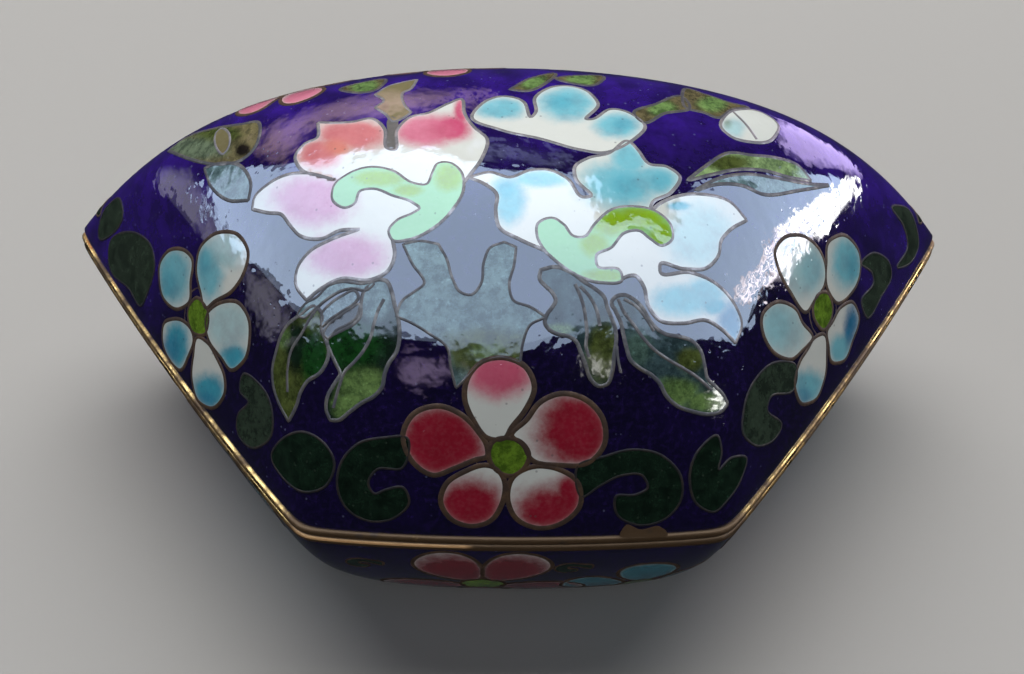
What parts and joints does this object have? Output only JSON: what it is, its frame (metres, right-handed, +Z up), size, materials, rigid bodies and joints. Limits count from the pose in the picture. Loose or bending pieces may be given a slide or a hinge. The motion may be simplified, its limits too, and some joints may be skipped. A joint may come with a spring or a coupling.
{
  "type": "cloisonne enamel trinket box",
  "caption": "Fan-shaped cloisonne enamel trinket box with a lift-off domed lid, gilt rims and flowers on a cobalt ground.",
  "frame": {"origin": "on the underside's plane, under the middle of the outline's box", "axes": "+Z up, the narrow edge of the fan faces -Y, the wide arc +Y, and the box is alike on both sides of X = 0"},
  "size_m": [0.0808, 0.048, 0.037],
  "materials": {
    "lid_enamel": "glossy cobalt enamel with flowers between fine wires, fired on copper",
    "base_enamel": "glossy cobalt enamel with flowers between fine wires, fired on copper",
    "gilt_brass": "gilt brass, polished on its edge and browned in the corners"
  },
  "bodies": {
    "root": {"lid": "lid_enamel", "lid_rim": "gilt_brass", "base": "base_enamel", "base_rim": "gilt_brass"}
  },
  "joints": []
}
